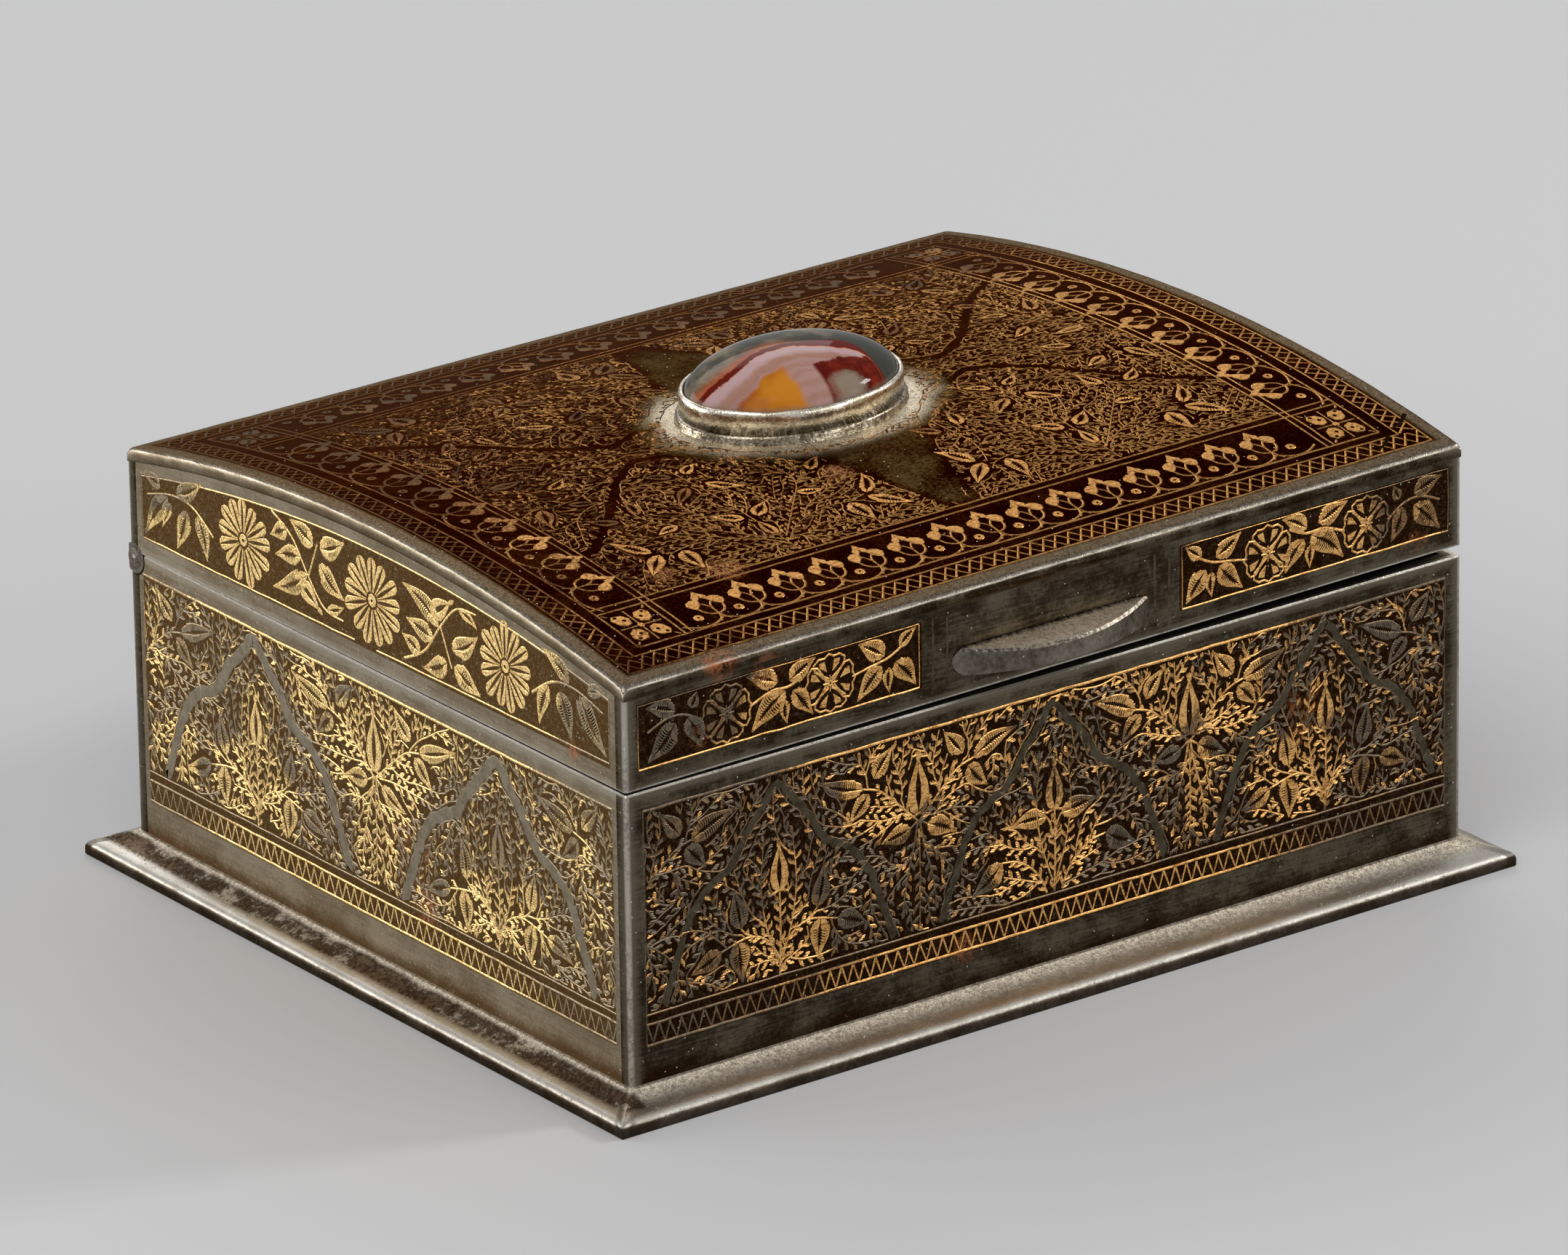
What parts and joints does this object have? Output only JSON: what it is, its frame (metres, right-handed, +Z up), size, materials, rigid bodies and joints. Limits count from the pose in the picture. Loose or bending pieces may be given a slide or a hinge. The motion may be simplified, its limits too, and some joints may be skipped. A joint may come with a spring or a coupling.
{
  "type": "casket",
  "caption": "Rectangular steel table casket with gold inlaid ornament, moulded plinth, hinged vaulted lid, thumb-piece and an oval stone set on the lid.",
  "frame": {"origin": "middle of the flat underside, on the surface the casket stands on", "axes": "+X along the front to the right, +Y from the front to the hinge at the back, +Z up"},
  "size_m": [0.1208, 0.1008, 0.0607],
  "materials": {
    "dark_steel": "satin",
    "worn_steel": "satin",
    "hinge_steel": "satin",
    "base_steel": "matte",
    "silver": "satin",
    "agate": "gloss",
    "gold_inlay": "satin"
  },
  "bodies": {
    "casket_body": {"base_plate": "base_steel", "body_front_wall": "dark_steel", "body_back_wall": "dark_steel", "body_left_wall": "dark_steel", "body_right_wall": "dark_steel", "plinth_front": "worn_steel", "plinth_back": "worn_steel", "plinth_left": "worn_steel", "plinth_right": "worn_steel", "body_knuckle_left": "hinge_steel", "body_knuckle_right": "hinge_steel"},
    "lid": {"lid_top_plate": "dark_steel", "lid_front_wall": "dark_steel", "lid_back_wall": "dark_steel", "lid_left_wall": "dark_steel", "lid_right_wall": "dark_steel", "thumb_piece": "worn_steel", "bezel_foot": "silver", "bezel_band": "silver", "cabochon": "agate", "hinge_pin": "hinge_steel", "lid_knuckle_left": "hinge_steel", "lid_knuckle_middle": "hinge_steel", "lid_knuckle_right": "hinge_steel"}
  },
  "joints": [
    {"name": "lid_hinge", "type": "hinge", "parent": "casket_body", "child": "lid", "pos_m": [0, 0.0452, 0.03545], "axis": [-1, 0, 0], "range_deg": [0, 125]}
  ]
}
